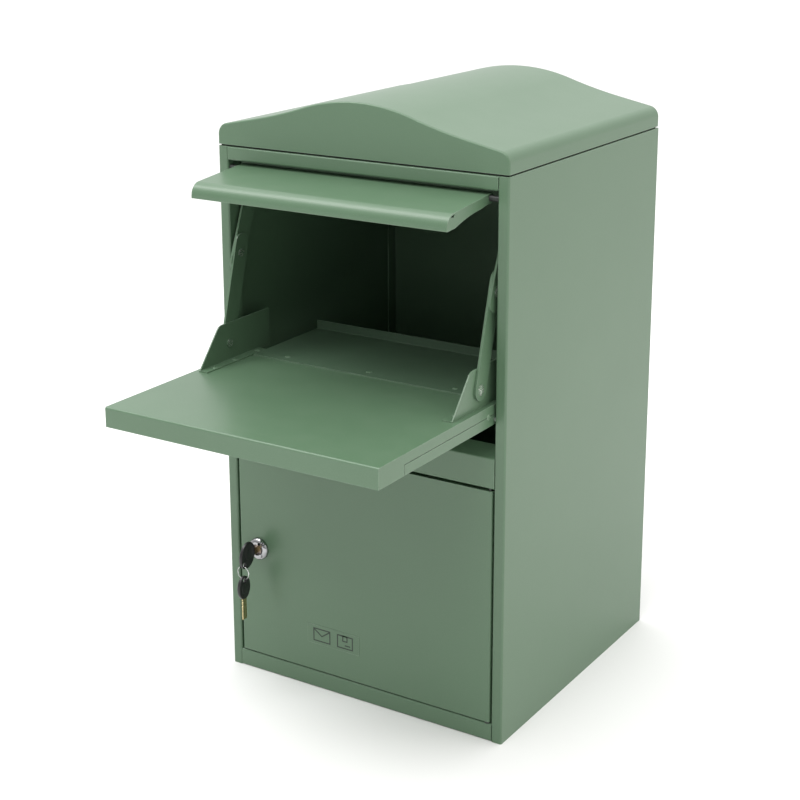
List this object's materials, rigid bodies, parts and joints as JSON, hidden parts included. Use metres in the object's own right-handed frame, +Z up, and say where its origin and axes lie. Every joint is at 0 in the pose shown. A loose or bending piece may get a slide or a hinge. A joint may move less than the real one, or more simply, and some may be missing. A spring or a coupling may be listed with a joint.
{
  "type": "parcel drop box",
  "caption": "Sheet-steel parcel drop box with an arched lid, a fold-down parcel flap on slotted stays, a sheltering hood and a key-locked lower door.",
  "frame": {"origin": "centre of the underside of the base, the middle of the four floor anchor holes", "axes": "+Z up, -Y out of the front, +X to the right seen from the front"},
  "size_m": [0.4, 0.635, 0.753],
  "materials": {
    "powder_coat": "sage green powder coat, fine orange peel, satin",
    "zinc_hardware": "zinc-plated steel",
    "chrome": "polished chrome plate",
    "brass": "machined brass",
    "key_plastic": "moulded black plastic",
    "rubber": "black foam and rubber",
    "label": null
  },
  "bodies": {
    "cabinet": {"left_side_panel": "powder_coat", "right_side_panel": "powder_coat", "back_panel": "powder_coat", "base_panel": "powder_coat", "roof_panel": "powder_coat", "arched_lid": "powder_coat", "lid_gasket": "rubber", "lid_screws": "zinc_hardware", "lid_nuts": "zinc_hardware", "mid_rail": "powder_coat", "flap_pivot_pins": "zinc_hardware", "hood_pivot_pins": "zinc_hardware", "hood_spacers": "zinc_hardware", "door_hinge_pins": "zinc_hardware", "left_stay_bracket": "powder_coat", "right_stay_bracket": "powder_coat", "stay_slot_pins": "zinc_hardware"},
    "flap": {"flap_outer_pan": "powder_coat", "flap_inner_pan": "powder_coat", "left_cheek": "powder_coat", "right_cheek": "powder_coat", "chute_tray": "powder_coat", "flap_rivets": "zinc_hardware", "stay_pivot_rivets": "zinc_hardware"},
    "left_stay": {"left_stay_lower_bar": "powder_coat", "left_stay_upper_bar": "powder_coat", "left_stay_lap_rivet": "zinc_hardware"},
    "right_stay": {"right_stay_lower_bar": "powder_coat", "right_stay_upper_bar": "powder_coat", "right_stay_lap_rivet": "zinc_hardware"},
    "hood": {"hood_panel": "powder_coat"},
    "door": {"door_panel": "powder_coat", "door_stiffeners": "powder_coat", "door_bumpers": "rubber", "door_label_plate": "label", "lock_housing": "chrome", "lock_nut": "zinc_hardware"},
    "lock_core": {"lock_plug": "brass", "lock_cam": "zinc_hardware", "cam_screw": "zinc_hardware"},
    "key": {"key_blade": "brass", "key_bow": "key_plastic"},
    "ring": {"key_ring": "chrome"},
    "spare_key": {"spare_key_bow": "key_plastic", "spare_key_blade": "brass"}
  },
  "joints": [
    {"name": "flap_hinge", "type": "hinge", "parent": "cabinet", "child": "flap", "pos_m": [0, -0.193, 0.405], "axis": [-1, 0, 0], "range_deg": [0, 90]},
    {"name": "left_stay_swing", "type": "hinge", "parent": "flap", "child": "left_stay", "pos_m": [-0.178, -0.219, 0.446], "axis": [1, 0, 0], "range_deg": [-1, 110]},
    {"name": "right_stay_swing", "type": "hinge", "parent": "flap", "child": "right_stay", "pos_m": [0.178, -0.219, 0.446], "axis": [1, 0, 0], "range_deg": [-1, 110]},
    {"name": "hood_hinge", "type": "hinge", "parent": "cabinet", "child": "hood", "pos_m": [0, -0.192, 0.6596], "axis": [-1, 0, 0], "range_deg": [0, 25]},
    {"name": "door_hinge", "type": "hinge", "parent": "cabinet", "child": "door", "pos_m": [0.1795, -0.194, 0.17], "axis": [0, 0, 1], "range_deg": [0, 110]},
    {"name": "lock_turn", "type": "hinge", "parent": "door", "child": "lock_core", "pos_m": [-0.1535, -0.198, 0.1709], "axis": [0, 1, 0], "range_deg": [0, 90]},
    {"name": "key_slide", "type": "slide", "parent": "lock_core", "child": "key", "axis": [0, -1, 0], "range_m": [0, 0.03]},
    {"name": "ring_swing", "type": "hinge", "parent": "key", "child": "ring", "pos_m": [-0.1535, -0.2325, 0.1589], "axis": [-1, 0, 0], "range_deg": [-10, 45]},
    {"name": "spare_key_swing", "type": "hinge", "parent": "ring", "child": "spare_key", "pos_m": [-0.1535, -0.2325, 0.1419], "axis": [-1, 0, 0], "range_deg": [-10, 45]}
  ],
  "couplings": [
    {"joint": "left_stay_swing", "follows": "flap_hinge", "ratio": 1.207},
    {"joint": "right_stay_swing", "follows": "flap_hinge", "ratio": 1.207}
  ]
}
